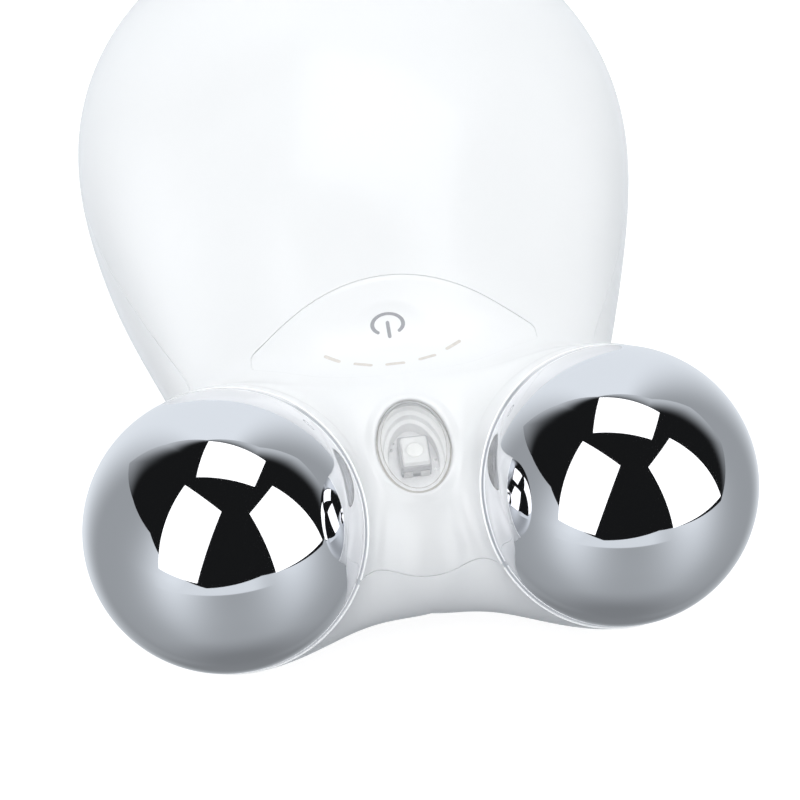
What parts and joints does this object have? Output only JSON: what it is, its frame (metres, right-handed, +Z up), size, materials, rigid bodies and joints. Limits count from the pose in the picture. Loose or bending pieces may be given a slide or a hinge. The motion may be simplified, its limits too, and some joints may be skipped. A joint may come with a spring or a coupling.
{
  "type": "facial toning device",
  "caption": "White pear-shaped handheld facial toning device with chrome ball electrodes, a lamp window between them and a lens-shaped power key.",
  "frame": {"origin": "middle of the resting footprint's box, on the table plane under the belly pad", "axes": "+Z up from the table, +Y from the ball electrodes to the rounded tail, +X across; the part is mirror symmetric about X = 0"},
  "size_m": [0.0598, 0.0996, 0.0417],
  "materials": {
    "shell": "polished white",
    "chrome": "mirror plated",
    "seal": "matte",
    "steel": "zinc plated",
    "brass": "bright",
    "inlay": "grey print inlay",
    "light_bar": "translucent warm grey",
    "window": "clear polished",
    "bezel": "satin reflector",
    "led_board": "white solder mask",
    "led": "white lamp body",
    "pcb": "green solder mask",
    "chip": "moulded epoxy",
    "grey_part": "ferrite grey",
    "can": "sleeved can",
    "cell": "foil pouch",
    "foam": "foam",
    "nylon": "natural nylon",
    "wire_red": "insulation",
    "wire_black": "insulation",
    "plug": "soft grey"
  },
  "bodies": {
    "housing": {"top_shell": "shell", "bottom_shell": "shell", "electrode_ball_left": "chrome", "electrode_ball_right": "chrome", "electrode_seals": "seal", "electrode_screws": "steel", "electrode_terminals": "brass", "electrode_leads": "wire_red", "tact_switch": "chip", "led_window": "window", "window_bezel": "bezel", "window_led_board": "led_board", "window_led": "led", "window_led_leads": "wire_black", "main_pcb": "pcb", "controller_chip": "chip", "level_leds": "led", "step_up_transformer": "grey_part", "inductor": "grey_part", "capacitor": "can", "buzzer": "chip", "battery_cell": "cell", "battery_foam_pad": "foam", "battery_connector": "nylon", "battery_leads": "wire_red", "charge_board": "pcb", "charge_socket": "steel", "charge_leads": "wire_black", "board_screws": "steel", "housing_screws": "steel", "screw_plugs": "plug", "belly_pad": "plug"},
    "power_button": {"power_key": "shell", "power_icon_inlay": "inlay", "level_light_bars": "light_bar"},
    "switch_plunger_body": {"switch_plunger": "chip"}
  },
  "joints": [
    {"name": "power_button_press", "type": "slide", "parent": "housing", "child": "power_button", "axis": [0, 0.1702, -0.9854], "range_m": [0, 0.00025], "stiffness_N_per_m": 6000},
    {"name": "switch_plunger_press", "type": "slide", "parent": "housing", "child": "switch_plunger_body", "axis": [0, 0.1702, -0.9854], "range_m": [0, 0.00025]}
  ],
  "couplings": [
    {"joint": "switch_plunger_press", "follows": "power_button_press", "ratio": 1}
  ]
}
